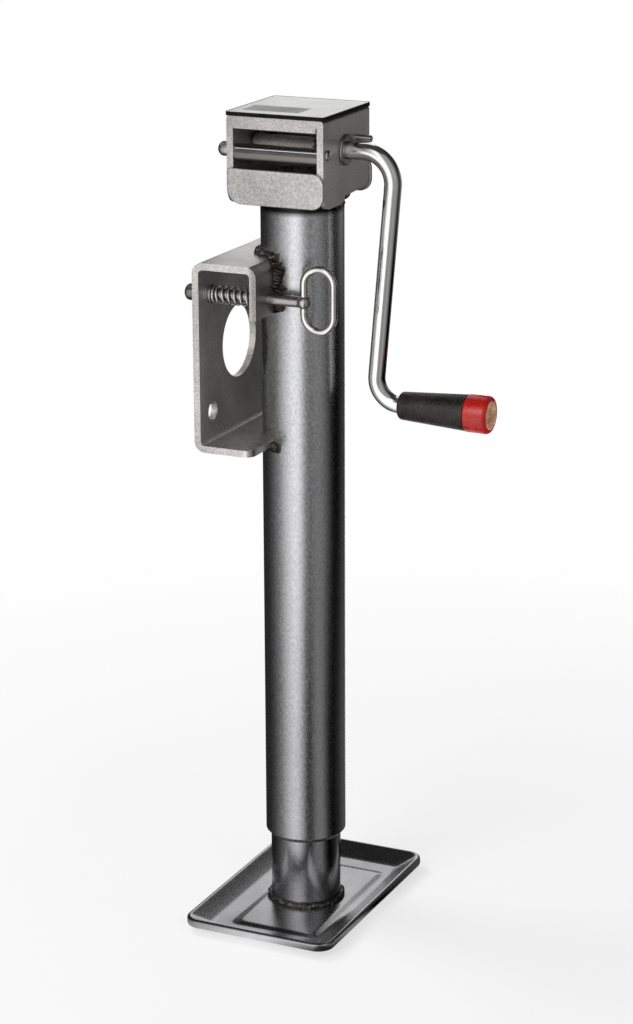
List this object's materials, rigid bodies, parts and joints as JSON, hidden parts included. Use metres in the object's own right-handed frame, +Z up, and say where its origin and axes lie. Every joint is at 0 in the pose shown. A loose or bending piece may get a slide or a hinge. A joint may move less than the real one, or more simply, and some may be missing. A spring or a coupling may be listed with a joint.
{
  "type": "telescopic prop stand",
  "caption": "Hand-cranked telescopic prop stand: bevel-geared head, screw-driven leg in a round tube, pressed foot, bent crank with a turning grip, swivel bracket with a sprung lock pin",
  "frame": {"origin": "on the tube's axis at the underside of the foot, where the foot meets the ground", "axes": "+Z up along the tube, +X toward the crank, -X toward the swivel bracket, the head's open window with the tie bolt faces -Y"},
  "size_m": [0.2172, 0.1846, 0.606],
  "materials": {
    "tube_steel": "zinc-plated drawn tube, satin",
    "leg_steel": "zinc-plated drawn tube, satin",
    "foot_steel": "zinc-plated pressed sheet",
    "weld_metal": "plated weld bead",
    "head_steel": "zinc-plated folded sheet",
    "gasket_rubber": "black sealing strip",
    "cover_steel": "bright zinc-plated sheet",
    "inlay_grey": "plain grey foil panel without lettering",
    "sleeve_steel": "greased steel sleeve",
    "disc_tan": "dull tan plug",
    "flap_steel": "zinc-plated sheet",
    "bolt_steel": "plated fastener",
    "spacer_steel": "rolled plated sleeve",
    "bush_bronze": "sintered bronze",
    "gear_steel": "cut gear, greased",
    "race_steel": "ground bearing race",
    "cage_brass": "pressed cage with steel balls",
    "screw_steel": "rolled trapezoidal screw",
    "nut_bronze": "turned nut",
    "crank_chrome": "bright-plated bent bar",
    "grip_black": "moulded black plastic, satin",
    "cap_red": "moulded red plastic",
    "bracket_steel": "zinc-plated bent plate",
    "pin_steel": "turned, zinc-plated",
    "spring_steel": "plated spring wire",
    "ring_steel": "plated bent wire"
  },
  "bodies": {
    "outer": {"outer_tube": "tube_steel", "head_housing": "head_steel", "cover_gasket": "gasket_rubber", "head_cover": "cover_steel", "cover_inlay": "inlay_grey", "front_flap": "flap_steel", "rear_flap": "flap_steel", "bearing_plate": "head_steel", "tube_weld": "weld_metal", "front_tie_bolt": "bolt_steel", "front_spacer": "spacer_steel", "rear_tie_bolt": "bolt_steel", "rear_spacer": "spacer_steel", "right_bush": "bush_bronze", "left_bush": "bush_bronze", "upper_race": "race_steel", "swivel_bracket": "bracket_steel", "bracket_weld": "weld_metal"},
    "leg": {"leg_tube": "leg_steel", "foot_plate": "foot_steel", "foot_weld": "weld_metal", "screw_nut": "nut_bronze"},
    "drive_screw": {"screw": "screw_steel", "screw_wheel": "gear_steel", "wheel_pin": "bolt_steel", "screw_stop": "screw_steel", "lower_race": "race_steel"},
    "ball_row": {"ball_cage": "cage_brass"},
    "crank": {"crank_rod": "crank_chrome", "pinion": "gear_steel", "pinion_pin": "bolt_steel", "shaft_sleeve": "sleeve_steel", "crank_washer": "bolt_steel", "shaft_clip": "bolt_steel", "grip_washer": "bolt_steel"},
    "grip": {"grip_sleeve": "grip_black", "grip_cap": "cap_red", "cap_disc": "disc_tan"},
    "lock": {"lock_pin": "pin_steel", "pin_collar": "pin_steel", "pin_spring": "spring_steel"},
    "ring": {"pull_ring": "ring_steel"}
  },
  "joints": [
    {"name": "crank_turn", "type": "hinge", "parent": "outer", "child": "crank", "pos_m": [0, 0, 0.578], "axis": [-1, 0, 0], "range_deg": [0, 37800]},
    {"name": "screw_turn", "type": "hinge", "parent": "outer", "child": "drive_screw", "pos_m": [0, 0, 0.56], "axis": [0, 0, -1], "range_deg": [0, 25201]},
    {"name": "cage_turn", "type": "hinge", "parent": "outer", "child": "ball_row", "pos_m": [0, 0, 0.5415], "axis": [0, 0, -1], "range_deg": [0, 12601]},
    {"name": "leg_slide", "type": "slide", "parent": "outer", "child": "leg", "axis": [0, 0, -1], "range_m": [0, 0.2801]},
    {"name": "grip_spin", "type": "hinge", "parent": "crank", "child": "grip", "pos_m": [0.102, 0, 0.3975], "axis": [1, 0, 0], "continuous": true},
    {"name": "pin_pull", "type": "slide", "parent": "outer", "child": "lock", "axis": [1, 0, 0], "range_m": [0, 0.0155], "stiffness_N_per_m": 2500, "springref_m": -0.008, "deforming": ["pin_spring"]},
    {"name": "ring_swing", "type": "hinge", "parent": "lock", "child": "ring", "pos_m": [0.0213, -0.044, 0.4787], "axis": [0, 0, 1], "range_deg": [-150, 70]}
  ],
  "couplings": [
    {"joint": "screw_turn", "follows": "crank_turn", "ratio": 0.66667},
    {"joint": "cage_turn", "follows": "crank_turn", "ratio": 0.33333},
    {"joint": "leg_slide", "follows": "crank_turn", "m_per_rad": 0.00042441}
  ]
}
